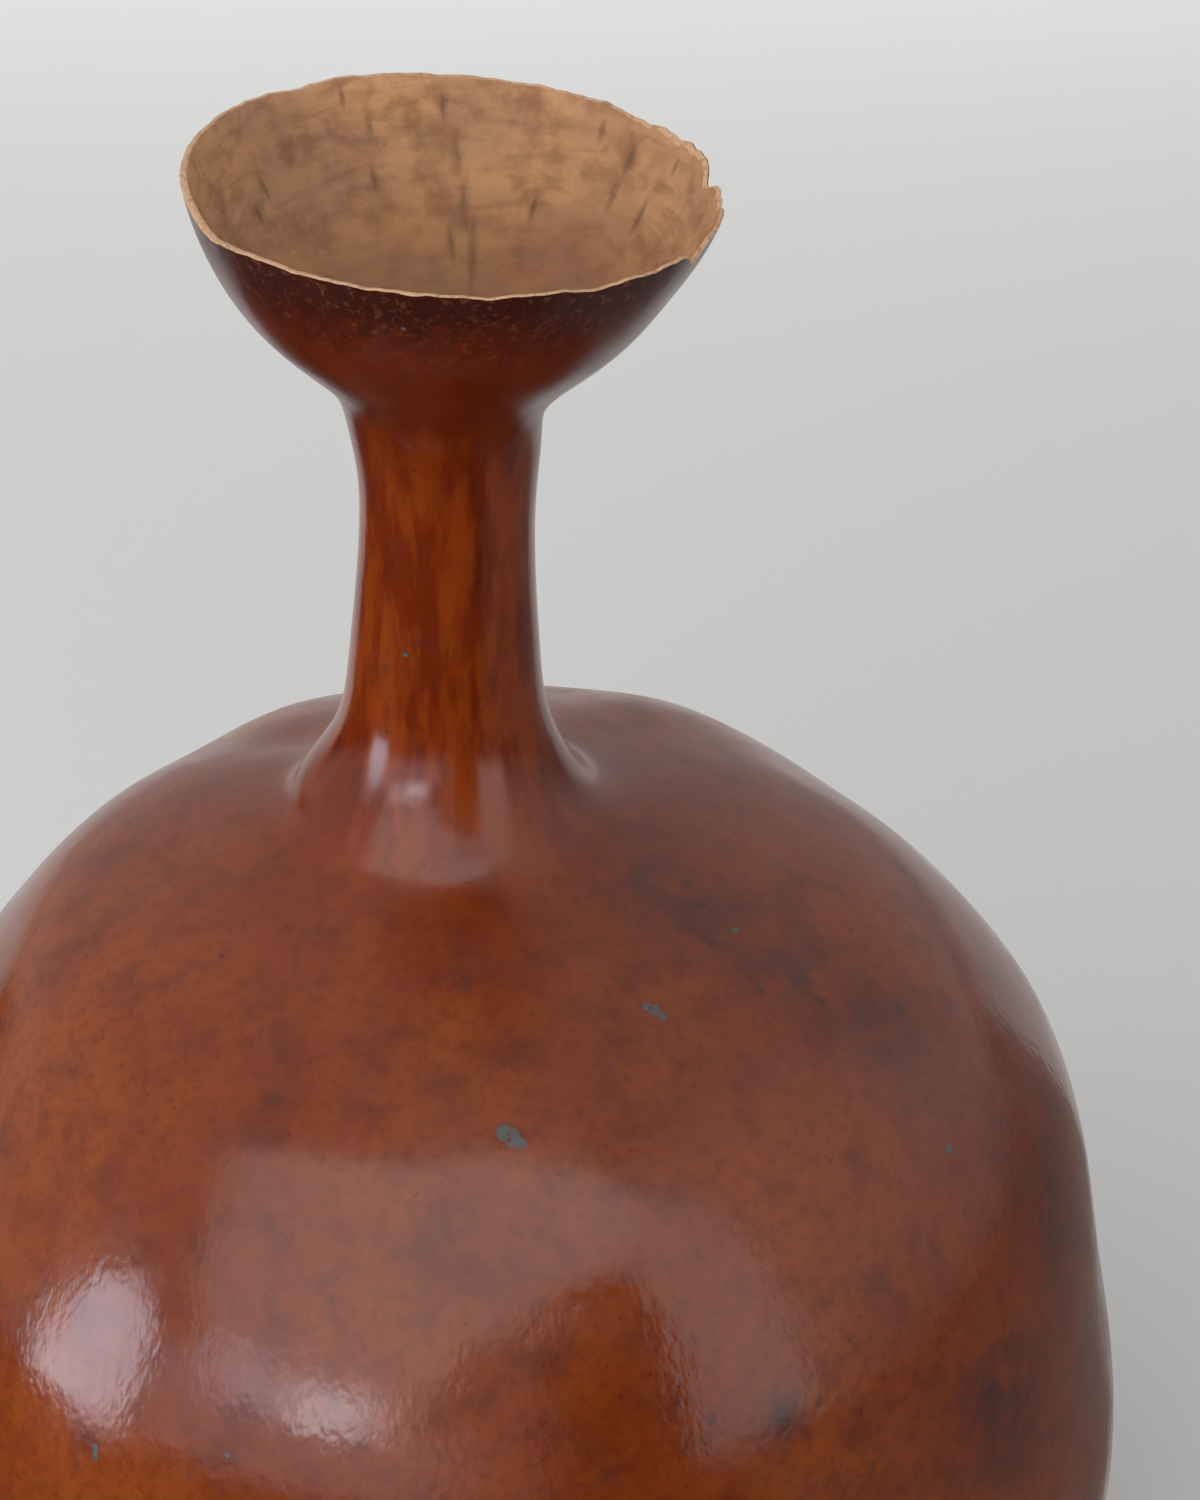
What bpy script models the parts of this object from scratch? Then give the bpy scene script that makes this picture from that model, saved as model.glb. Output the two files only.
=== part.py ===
"""Gourd vessel: one dried bottle gourd, cut open across its upper bulb and emptied.

The gourd grew as one piece, so it is one solid: a low round belly, a slim neck and the
lower part of a small upper bulb, which is left as a flared cup. The skin is a turned
profile that is then bent and swollen the way the fruit grew, given its wall, and cut
along a worn and chipped rim. Metres, +Z up, origin under the middle of the gourd on the
surface that it stands on.
"""

import math

import bmesh
import bpy
import numpy as np

# Driving dimensions of the vessel
RIM_HEIGHT = 0.510
RIM_RADIUS = 0.0662
THROAT_HEIGHT = 0.454
THROAT_RADIUS = 0.0276
NECK_RADIUS = 0.0226
NECK_MIDDLE = 0.410
SHOULDER_HEIGHT = 0.2755
SHOULDER_RADIUS = 0.1380
BELLY_HEIGHT = 0.135
BELLY_RADIUS = 0.1796

# The worn flat that the gourd stands on, and the sunken scar of its flower inside it
FOOT_RADIUS = 0.050
SCAR_RADIUS = 0.022
SCAR_DEPTH = 0.0025
SCAR_BOWL = 0.6

# Wall thickness at four heights, thin at the cut and thick in the belly
WALL_AT_RIM = 0.0021
WALL_IN_NECK = 0.0036
WALL_IN_BELLY = 0.0056
# Height above the rim where the wall starts to thicken, and over what drop it does
WALL_ABOVE_RIM = 0.010
CUP_WALL_DROP = 0.080
SHOULDER_WALL_DROP = 0.120

# Height and radius of the skin before it is bent, from above the cut down to the foot
SKIN_STATIONS = [
    (0.524, 0.0688),
    (RIM_HEIGHT, RIM_RADIUS),
    (0.495, 0.0608),
    (0.480, 0.0516),
    (0.466, 0.0382),
    (THROAT_HEIGHT, THROAT_RADIUS),
    (0.438, 0.0234),
    (NECK_MIDDLE, NECK_RADIUS),
    (0.380, 0.0246),
    (0.358, 0.0277),
    (0.343, 0.0337),
    (0.3318, 0.0413),
    (0.3260, 0.0530),
    (0.3187, 0.0735),
    (0.3095, 0.0960),
    (0.2967, 0.1180),
    (SHOULDER_HEIGHT, SHOULDER_RADIUS),
    (0.240, 0.1608),
    (0.184, 0.1750),
    (BELLY_HEIGHT, BELLY_RADIUS),
    (0.085, 0.1728),
    (0.040, 0.1470),
    (0.012, 0.1010),
    (0.0, FOOT_RADIUS),
]

# How the neck leaves the middle of the belly and bends back towards it, in x and in y
NECK_FOOT_HEIGHT = 0.345
NECK_BEND_START = 0.272
NECK_SHIFT = (-0.0096, 0.0030)
CUP_RETURN = (0.0067, -0.0050)
CUP_RETURN_POWER = 1.3

# Lobes round the skin: how many, share of the radius, angle of a crest in degrees
BELLY_LOBES = [(2, 0.011, 62.0), (3, 0.007, 20.0)]
SHOULDER_LOBES = [(2, 0.008, 115.0)]
CUP_LOBES = [(2, 0.012, 8.0), (3, 0.008, 75.0)]
# How far the lobes wind round the gourd, in radians for each metre of height
LOBE_TWIST = 1.4
# Where the lobes rise from nothing and fade out again, and over what height
BELLY_LOBE_RISE = (0.000, 0.080)
BELLY_LOBE_FADE = (0.160, 0.140)
SHOULDER_LOBE_RISE = (0.150, 0.100)
SHOULDER_LOBE_FADE = (0.300, 0.045)

# Slow swellings and dents: angle and height, half width in degrees and half height, rise
SWELLINGS = [
    (62.0, 0.306, 11.0, 0.026, 0.0021),
    (37.0, 0.278, 9.0, 0.030, -0.0009),
    (16.0, 0.248, 11.0, 0.032, 0.0015),
    (-2.0, 0.182, 14.0, 0.040, -0.0027),
    (-12.0, 0.120, 12.0, 0.034, 0.0011),
    (118.0, 0.311, 12.0, 0.024, 0.0014),
    (136.0, 0.303, 9.0, 0.026, -0.0012),
    (163.0, 0.266, 12.0, 0.036, 0.0015),
    (205.0, 0.150, 20.0, 0.050, -0.0016),
    (100.0, 0.180, 18.0, 0.055, -0.0015),
    (66.0, 0.120, 16.0, 0.045, 0.0014),
    (180.0, 0.338, 50.0, 0.012, 0.0025),
    (180.0, 0.446, 40.0, 0.012, 0.0014),
    (0.0, 0.452, 35.0, 0.010, -0.0020),
    (-20.0, 0.486, 20.0, 0.012, -0.0013),
]
# Below this height a swelling pushes away from the belly's middle, above it sideways
SWELL_SIDEWAYS = 0.345
SWELL_BLEND = 0.035

# The cut rim: its slope and its slow waves
RIM_MEAN_RISE = 0.0008
RIM_WAVES = [(1, 0.0037, -178.0), (1, 0.0005, 90.0), (2, 0.0010, -70.0), (3, 0.0004, 30.0)]
# Chips and worn dips of the rim: angle and half width in degrees, depth
RIM_DIPS = [
    (14.0, 5.0, 0.0048),
    (333.0, 4.0, 0.0030),
    (207.0, 12.0, 0.0030),
    (277.0, 3.0, 0.0009),
    (45.0, 6.0, 0.0009),
    (130.0, 7.0, 0.0010),
    (301.0, 4.0, 0.0008),
]

# How finely the skin and the cut are divided
COLUMNS = 60
ROWS = 40
ROW_LENGTH = 0.020
ROW_TURN = math.radians(9.0)
FOOT_ROWS = 2
CUT_COLUMNS = 120
# The lid that cuts the rim: its radius against the rim's, and its height above the rim
LID_SPREAD = 1.35
LID_HEIGHT = 0.040

SKIN_COLOUR = (0.235, 0.052, 0.012, 1.0)
SKIN_ROUGHNESS = 0.32
MERGE_DISTANCE = 0.00005
SHARP_ANGLE = math.radians(40.0)


def smooth_step(value):
    """0 below 0, 1 above 1, and a smooth rise between them."""
    t = np.clip(value, 0.0, 1.0)
    return t * t * (3.0 - 2.0 * t)


def natural_spline(stations, samples):
    """Points of the smooth curve through the stations, many and evenly along it."""
    knots = np.asarray(stations, float)
    along = np.concatenate([[0.0], np.cumsum(np.linalg.norm(np.diff(knots, axis=0), axis=1))])
    step = np.diff(along)
    count = len(knots)
    system = np.eye(count)
    right = np.zeros((count, 2))
    for i in range(1, count - 1):
        system[i, i - 1 : i + 2] = (step[i - 1], 2.0 * (step[i - 1] + step[i]), step[i])
        rise_after = (knots[i + 1] - knots[i]) / step[i]
        rise_before = (knots[i] - knots[i - 1]) / step[i - 1]
        right[i] = 6.0 * (rise_after - rise_before)
    bend = np.linalg.solve(system, right)
    where = np.linspace(0.0, along[-1], samples)
    i = np.clip(np.searchsorted(along, where, side="right") - 1, 0, count - 2)
    h = step[i][:, None]
    a = (along[i + 1] - where)[:, None] / h
    b = (where - along[i])[:, None] / h
    cubic = ((a**3 - a) * bend[i] + (b**3 - b) * bend[i + 1]) * h * h / 6.0
    return a * knots[i] + b * knots[i + 1] + cubic


def skin_profile():
    """Radius and height of each row of the skin, closer together where it bends."""
    fine = natural_spline(SKIN_STATIONS, 2000)
    edge = np.diff(fine, axis=0)
    length = np.linalg.norm(edge, axis=1)
    heading = np.unwrap(np.arctan2(edge[:, 1], edge[:, 0]))
    turn = np.abs(np.diff(heading, prepend=heading[0]))
    cost = np.concatenate([[0.0], np.cumsum(length / ROW_LENGTH + turn / ROW_TURN)])
    wanted = np.linspace(0.0, cost[-1], ROWS)
    height = np.interp(wanted, cost, fine[:, 0])
    radius = np.interp(wanted, cost, fine[:, 1])
    rows = list(zip(radius, height))
    for i in range(1, FOOT_ROWS + 1):
        rows.append((FOOT_RADIUS + (SCAR_RADIUS - FOOT_RADIUS) * i / FOOT_ROWS, 0.0))
    rows.append((SCAR_RADIUS / 2.0, SCAR_DEPTH * SCAR_BOWL))
    rows.append((0.0, SCAR_DEPTH))
    return rows


def rise_over(height, start, length):
    """0 below the start, 1 above start plus length, smooth between them."""
    return smooth_step((height - start) / length)


def lobes(terms, angle):
    """Sum of the lobes round the skin, as a share of the radius."""
    total = np.zeros_like(angle)
    for count, share, crest in terms:
        total += share * np.cos(count * (angle - math.radians(crest)))
    return total


def swellings(points):
    """How far the slow swellings and dents move each point of the skin."""
    x, y, z = points.T
    degrees = np.degrees(np.arctan2(y, x))
    rise = np.zeros_like(z)
    for angle, height, half_width, half_height, crest in SWELLINGS:
        away = (degrees - angle + 180.0) % 360.0 - 180.0
        rise += crest * np.exp(-((away / half_width) ** 2) - ((z - height) / half_height) ** 2)
    rise *= rise_over(z, *BELLY_LOBE_RISE)
    outwards = points.copy()
    sideways = rise_over(z, SWELL_SIDEWAYS - SWELL_BLEND, SWELL_BLEND)
    outwards[:, 2] = (z - BELLY_HEIGHT) * (1.0 - sideways)
    outwards /= np.linalg.norm(outwards, axis=1, keepdims=True)
    return outwards * rise[:, None]


def grow(points):
    """Swells and bends a straight turned skin into the shape that the gourd grew to."""
    x, y, z = points.T
    twisted = np.arctan2(y, x) + LOBE_TWIST * z
    belly = rise_over(z, *BELLY_LOBE_RISE) * (1.0 - rise_over(z, *BELLY_LOBE_FADE))
    shoulder = rise_over(z, *SHOULDER_LOBE_RISE) * (1.0 - rise_over(z, *SHOULDER_LOBE_FADE))
    cup = rise_over(z, THROAT_HEIGHT, RIM_HEIGHT - THROAT_HEIGHT)
    share = (
        1.0
        + belly * lobes(BELLY_LOBES, twisted)
        + shoulder * lobes(SHOULDER_LOBES, twisted)
        + cup * lobes(CUP_LOBES, twisted)
    )
    into_neck = rise_over(z, NECK_BEND_START, NECK_FOOT_HEIGHT - NECK_BEND_START)
    up_neck = np.clip((z - NECK_FOOT_HEIGHT) / (RIM_HEIGHT - NECK_FOOT_HEIGHT), 0.0, None)
    back = up_neck**CUP_RETURN_POWER
    grown = swellings(points)
    grown[:, 0] += x * share + NECK_SHIFT[0] * into_neck + CUP_RETURN[0] * back
    grown[:, 1] += y * share + NECK_SHIFT[1] * into_neck + CUP_RETURN[1] * back
    grown[:, 2] += z
    return grown


def wall_thickness(height):
    """Thickness of the wall at a height."""
    neck = smooth_step((RIM_HEIGHT + WALL_ABOVE_RIM - height) / CUP_WALL_DROP)
    belly = smooth_step((NECK_FOOT_HEIGHT - height) / SHOULDER_WALL_DROP)
    return (
        WALL_AT_RIM
        + (WALL_IN_NECK - WALL_AT_RIM) * neck
        + (WALL_IN_BELLY - WALL_IN_NECK) * belly
    )


def rim_height(angle):
    """Height of the cut edge at an angle round the cup."""
    height = np.full_like(angle, RIM_HEIGHT + RIM_MEAN_RISE)
    for count, rise, crest in RIM_WAVES:
        height += rise * np.cos(count * (angle - math.radians(crest)))
    for centre, half_width, depth in RIM_DIPS:
        away = (np.degrees(angle) - centre + 180.0) % 360.0 - 180.0
        height -= depth * np.exp(-((away / half_width) ** 2))
    return height


def clear_scene():
    """Removes whatever the scene held."""
    for obj in list(bpy.data.objects):
        bpy.data.objects.remove(obj, do_unlink=True)


def new_collection(name):
    """A collection linked to the scene."""
    collection = bpy.data.collections.new(name)
    bpy.context.scene.collection.children.link(collection)
    return collection


def add_object(name, mesh, collection):
    """An object for the mesh, in the collection."""
    obj = bpy.data.objects.new(name, mesh)
    collection.objects.link(obj)
    return obj


def evaluated_mesh(obj):
    """A new mesh of the object with its modifiers applied."""
    graph = bpy.context.evaluated_depsgraph_get()
    return bpy.data.meshes.new_from_object(obj.evaluated_get(graph), depsgraph=graph)


def turned_skin(collection):
    """The skin as a straight turned surface, made by screwing its profile round Z."""
    rows = skin_profile()
    line = bpy.data.meshes.new("skin_profile")
    line.from_pydata(
        [(radius, 0.0, height) for radius, height in rows],
        [(i, i + 1) for i in range(len(rows) - 1)],
        [],
    )
    profile = add_object("skin_profile", line, collection)
    screw = profile.modifiers.new("turn", "SCREW")
    screw.steps = COLUMNS
    screw.render_steps = COLUMNS
    screw.use_merge_vertices = True
    screw.merge_threshold = MERGE_DISTANCE
    bpy.context.view_layer.update()
    mesh = evaluated_mesh(profile)
    bpy.data.objects.remove(profile, do_unlink=True)
    return mesh


def rim_cutter(collection, shift):
    """A lid over the cup whose underside follows the cut, chips included."""
    outer = RIM_RADIUS * LID_SPREAD
    centre_x = NECK_SHIFT[0] + CUP_RETURN[0] + shift[0]
    centre_y = NECK_SHIFT[1] + CUP_RETURN[1] + shift[1]
    bm = bmesh.new()
    bmesh.ops.create_cone(
        bm,
        cap_ends=True,
        segments=CUT_COLUMNS,
        radius1=outer,
        radius2=outer,
        depth=LID_HEIGHT,
    )
    under = [face for face in bm.faces if face.normal.z < 0.0 and len(face.verts) == CUT_COLUMNS]
    poked = bmesh.ops.poke(bm, faces=under)
    middle = poked["verts"][0]
    for vert in bm.verts:
        if vert is middle:
            vert.co.z = RIM_HEIGHT
        elif vert.co.z < 0.0:
            at_wall = float(rim_height(np.array([math.atan2(vert.co.y, vert.co.x)]))[0])
            vert.co.z = RIM_HEIGHT + (at_wall - RIM_HEIGHT) * outer / RIM_RADIUS
        else:
            vert.co.z = RIM_HEIGHT + LID_HEIGHT
        vert.co.x += centre_x
        vert.co.y += centre_y
    bmesh.ops.recalc_face_normals(bm, faces=bm.faces)
    mesh = bpy.data.meshes.new("rim_cutter")
    bm.to_mesh(mesh)
    bm.free()
    cutter = add_object("rim_cutter", mesh, collection)
    cutter.hide_render = True
    cutter.display_type = "WIRE"
    return cutter


def skin_material():
    """Polished, smoke-darkened gourd skin."""
    material = bpy.data.materials.new("gourd_skin")
    material.use_nodes = True
    shader = material.node_tree.nodes["Principled BSDF"]
    shader.inputs["Base Color"].default_value = SKIN_COLOUR
    shader.inputs["Roughness"].default_value = SKIN_ROUGHNESS
    shader.inputs["Metallic"].default_value = 0.0
    return material


def gourd(parts, helpers):
    """The whole gourd: skin, wall and cut rim in one solid."""
    mesh = turned_skin(helpers)
    mesh.name = "gourd"
    coordinates = np.empty(len(mesh.vertices) * 3)
    mesh.vertices.foreach_get("co", coordinates)
    straight = coordinates.reshape(-1, 3)
    grown = grow(straight)
    shift = -(grown.min(axis=0) + grown.max(axis=0)) / 2.0
    grown[:, :2] += shift[:2]
    mesh.vertices.foreach_set("co", grown.ravel())
    mesh.update()
    shell = add_object("gourd", mesh, parts)
    shell.data.materials.append(skin_material())

    wall = shell.vertex_groups.new(name="wall")
    for index, height in enumerate(straight[:, 2]):
        wall.add([index], float(wall_thickness(height)) / WALL_IN_BELLY, "REPLACE")
    solidify = shell.modifiers.new("wall", "SOLIDIFY")
    solidify.thickness = WALL_IN_BELLY
    solidify.offset = -1.0
    solidify.use_even_offset = True
    solidify.vertex_group = wall.name

    cut = shell.modifiers.new("rim_cut", "BOOLEAN")
    cut.operation = "DIFFERENCE"
    cut.solver = "EXACT"
    cut.object = rim_cutter(helpers, shift)
    mesh.shade_smooth()
    mesh.set_sharp_from_angle(angle=SHARP_ANGLE)
    return shell


def main():
    """Builds the vessel."""
    clear_scene()
    parts = new_collection("gourd_vessel")
    helpers = new_collection("cutters")
    gourd(parts, helpers)


main()
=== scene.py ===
"""Looks of a dried bottle gourd that was cut open across its upper bulb as a vessel.

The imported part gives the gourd's place and size. This script makes the fine surface over it
from the same growth that shaped the part: the polished and smoke-darkened skin, the worn
rim with its chips, and the dry flesh inside. It then sets a plain studio round it.
Metres, +Z up, the viewer on the -Y side.
"""

import logging
import math
from dataclasses import dataclass
from enum import Enum

import bpy
import numpy as np
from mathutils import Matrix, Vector, noise


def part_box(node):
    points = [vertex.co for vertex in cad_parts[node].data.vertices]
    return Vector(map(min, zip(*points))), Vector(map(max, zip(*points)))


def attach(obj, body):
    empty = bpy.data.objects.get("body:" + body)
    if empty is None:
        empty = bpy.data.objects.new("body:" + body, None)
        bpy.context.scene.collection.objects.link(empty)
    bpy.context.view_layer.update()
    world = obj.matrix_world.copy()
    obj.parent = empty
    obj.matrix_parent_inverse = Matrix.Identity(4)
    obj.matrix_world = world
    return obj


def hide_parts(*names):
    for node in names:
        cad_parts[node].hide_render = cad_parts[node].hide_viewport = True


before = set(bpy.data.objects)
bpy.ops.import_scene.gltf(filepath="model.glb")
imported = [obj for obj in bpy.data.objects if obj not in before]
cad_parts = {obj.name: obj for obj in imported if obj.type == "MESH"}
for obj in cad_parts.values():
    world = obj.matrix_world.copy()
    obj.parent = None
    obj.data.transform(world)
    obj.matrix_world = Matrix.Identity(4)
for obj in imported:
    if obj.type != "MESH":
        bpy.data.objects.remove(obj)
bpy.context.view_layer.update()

NODE = "gourd"
BODY = "root"
MM = 0.001
PHOTO_SIZE = (1200, 1500)

Tree = bpy.types.NodeTree
Socket = bpy.types.NodeSocket
Spot = tuple[float, float, float, float]

log = logging.getLogger("gourd_vessel")


class Zone(Enum):
    """The three surfaces of the shell, which are also its material slots."""

    SKIN = 0
    CUT = 1
    FLESH = 2


def linear(hex_colour: str) -> tuple[float, float, float, float]:
    """Turns an sRGB hex colour to the linear colour that a shader takes.

    Args:
        hex_colour: The colour as "#rrggbb".

    Returns:
        Linear red, green, blue and an alpha of one.
    """
    channels = [int(hex_colour[i : i + 2], 16) / 255.0 for i in (1, 3, 5)]
    parts = [c / 12.92 if c <= 0.04045 else ((c + 0.055) / 1.055) ** 2.4 for c in channels]
    return (*parts, 1.0)


def add_node(
    tree: Tree, kind: str, inputs: dict[str | int, object] | None = None, **settings: object
) -> bpy.types.Node:
    """Adds a node with its settings and links.

    Args:
        tree: The node tree that the node goes into.
        kind: The node's type name.
        inputs: For each input socket, a value or hex colour to set, or what to link: an output
            socket, or a node for its first one.
        **settings: Properties of the node itself.

    Returns:
        The new node.
    """
    node = tree.nodes.new(kind)
    for name, value in settings.items():
        setattr(node, name, value)
    for name, value in (inputs or {}).items():
        value = value.outputs[0] if isinstance(value, bpy.types.Node) else value
        if isinstance(value, Socket):
            tree.links.new(value, node.inputs[name])
        else:
            node.inputs[name].default_value = linear(value) if isinstance(value, str) else value
    return node


def smooth_step(value: np.ndarray) -> np.ndarray:
    """0 below 0, 1 above 1, and a smooth rise between them."""
    t = np.clip(value, 0.0, 1.0)
    return t * t * (3.0 - 2.0 * t)


def rise_over(height: np.ndarray, start: float, length: float) -> np.ndarray:
    """0 below the start, 1 above start plus length, smooth between them."""
    return smooth_step((height - start) / length)


def toward(azimuth: float, elevation: float) -> Vector:
    """The direction at an azimuth from +X towards +Y and an elevation, both in degrees."""
    level = math.cos(math.radians(elevation))
    turn = math.radians(azimuth)
    return Vector((level * math.cos(turn), level * math.sin(turn), math.sin(math.radians(elevation))))


@dataclass(frozen=True)
class Lobes:
    """Lobes that run round the skin over part of its height.

    Attributes:
        terms: For each wave, how many crests, share of the radius and a crest's angle.
        rise: Height where the lobes start, and over what height they rise.
        fade: Height where they start to fade, and over what height, or None.
    """

    terms: tuple[tuple[int, float, float], ...]
    rise: tuple[float, float]
    fade: tuple[float, float] | None = None

    def share(self, angle: np.ndarray, height: np.ndarray) -> np.ndarray:
        """How far the lobes swell the radius, as a share of it.

        Args:
            angle: Angle round the gourd in radians, twist included.
            height: Height of each point.

        Returns:
            The share to add to one.
        """
        total = np.zeros_like(height)
        for crests, share, crest in self.terms:
            total += share * np.cos(crests * (angle - math.radians(crest)))
        window = rise_over(height, *self.rise)
        if self.fade:
            window = window * (1.0 - rise_over(height, *self.fade))
        return total * window


@dataclass(frozen=True)
class Growth:
    """How the gourd grew: its profile, its lobes and swellings and the bend of its neck.

    Attributes:
        stations: Height and radius of the skin from above the cut down to the foot.
        twist: How far the lobes turn as they climb, in radians a metre.
        swellings: Angle, height, half width in degrees, half height and rise of each.
        neck_shift: How far the neck stands from the middle of the belly, in x and y.
        cup_return: How far the cup leans back from there, in x and y.
    """

    stations: tuple[tuple[float, float], ...] = (
        (0.524, 0.0688), (0.510, 0.0662), (0.495, 0.0608), (0.480, 0.0516), (0.466, 0.0382),
        (0.454, 0.0276), (0.438, 0.0234), (0.410, 0.0226), (0.380, 0.0246), (0.358, 0.0277),
        (0.343, 0.0337), (0.3318, 0.0413), (0.3260, 0.0530), (0.3187, 0.0735), (0.3095, 0.0960),
        (0.2967, 0.1180), (0.2755, 0.1380), (0.240, 0.1608), (0.184, 0.1750), (0.135, 0.1796),
        (0.085, 0.1728), (0.040, 0.1470), (0.012, 0.1010), (0.0, 0.050),
    )
    lobes: tuple[Lobes, ...] = (
        Lobes(((2, 0.011, 62.0), (3, 0.007, 20.0)), (0.000, 0.080), (0.160, 0.140)),
        Lobes(((2, 0.008, 115.0),), (0.150, 0.100), (0.300, 0.045)),
        Lobes(((2, 0.012, 8.0), (3, 0.008, 75.0)), (0.454, 0.056)),
    )
    twist: float = 1.4
    swellings: tuple[tuple[float, float, float, float, float], ...] = (
        (62.0, 0.306, 11.0, 0.026, 0.0021), (37.0, 0.278, 9.0, 0.030, -0.0009),
        (16.0, 0.248, 11.0, 0.032, 0.0015), (-2.0, 0.182, 14.0, 0.040, -0.0027),
        (-12.0, 0.120, 12.0, 0.034, 0.0011), (118.0, 0.311, 12.0, 0.024, 0.0014),
        (136.0, 0.303, 9.0, 0.026, -0.0012), (163.0, 0.266, 12.0, 0.036, 0.0015),
        (205.0, 0.150, 20.0, 0.050, -0.0016), (100.0, 0.180, 18.0, 0.055, -0.0015),
        (66.0, 0.120, 16.0, 0.045, 0.0014), (180.0, 0.338, 50.0, 0.012, 0.0025),
        (180.0, 0.446, 40.0, 0.012, 0.0014), (0.0, 0.452, 35.0, 0.010, -0.0020),
        (-20.0, 0.486, 20.0, 0.012, -0.0013), (-92.0, 0.334, 60.0, 0.018, 0.0025),
    )
    belly_height: float = 0.135
    foot_fade: float = 0.080
    sideways_height: float = 0.345
    sideways_blend: float = 0.035
    neck_foot: float = 0.345
    neck_bend_start: float = 0.272
    neck_shift: tuple[float, float] = (-0.0096, 0.0030)
    cup_return: tuple[float, float] = (0.0067, -0.0050)
    cup_return_power: float = 1.3
    cup_height: float = 0.510

    def curve(self, samples: int) -> np.ndarray:
        """The smooth curve through the stations.

        Args:
            samples: How many points to give, evenly along the curve.

        Returns:
            Height and radius of each point, as an array of two columns.
        """
        knots = np.asarray(self.stations)
        along = np.concatenate([[0.0], np.cumsum(np.linalg.norm(np.diff(knots, axis=0), axis=1))])
        step = np.diff(along)
        system = np.eye(len(knots))
        right = np.zeros((len(knots), 2))
        for i in range(1, len(knots) - 1):
            system[i, i - 1 : i + 2] = (step[i - 1], 2.0 * (step[i - 1] + step[i]), step[i])
            after = (knots[i + 1] - knots[i]) / step[i]
            before = (knots[i] - knots[i - 1]) / step[i - 1]
            right[i] = 6.0 * (after - before)
        bend = np.linalg.solve(system, right)
        where = np.linspace(0.0, along[-1], samples)
        i = np.clip(np.searchsorted(along, where, side="right") - 1, 0, len(knots) - 2)
        h = step[i][:, None]
        a = (along[i + 1] - where)[:, None] / h
        b = (where - along[i])[:, None] / h
        cubic = ((a**3 - a) * bend[i] + (b**3 - b) * bend[i + 1]) * h * h / 6.0
        return a * knots[i] + b * knots[i + 1] + cubic

    def swell(self, points: np.ndarray) -> np.ndarray:
        """How far the slow swellings and dents move each point.

        Args:
            points: Points of the straight turned skin, one in each row.

        Returns:
            The move of each point.
        """
        x, y, z = points.T
        degrees = np.degrees(np.arctan2(y, x))
        rise = np.zeros_like(z)
        for angle, height, half_width, half_height, crest in self.swellings:
            away = (degrees - angle + 180.0) % 360.0 - 180.0
            rise += crest * np.exp(-((away / half_width) ** 2) - ((z - height) / half_height) ** 2)
        rise *= rise_over(z, 0.0, self.foot_fade)
        outwards = points.copy()
        sideways = rise_over(z, self.sideways_height - self.sideways_blend, self.sideways_blend)
        outwards[:, 2] = (z - self.belly_height) * (1.0 - sideways)
        outwards /= np.linalg.norm(outwards, axis=1, keepdims=True)
        return outwards * rise[:, None]

    def grow(self, points: np.ndarray) -> np.ndarray:
        """Swells and bends a straight turned skin into the shape that the gourd grew to.

        Args:
            points: Points of the straight turned skin, one in each row.

        Returns:
            The grown points.
        """
        x, y, z = points.T
        twisted = np.arctan2(y, x) + self.twist * z
        share = 1.0 + sum(lobe.share(twisted, z) for lobe in self.lobes)
        into_neck = rise_over(z, self.neck_bend_start, self.neck_foot - self.neck_bend_start)
        up_neck = np.clip((z - self.neck_foot) / (self.cup_height - self.neck_foot), 0.0, None)
        back = up_neck**self.cup_return_power
        grown = self.swell(points)
        grown[:, 0] += x * share + self.neck_shift[0] * into_neck + self.cup_return[0] * back
        grown[:, 1] += y * share + self.neck_shift[1] * into_neck + self.cup_return[1] * back
        grown[:, 2] += z
        return grown


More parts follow.
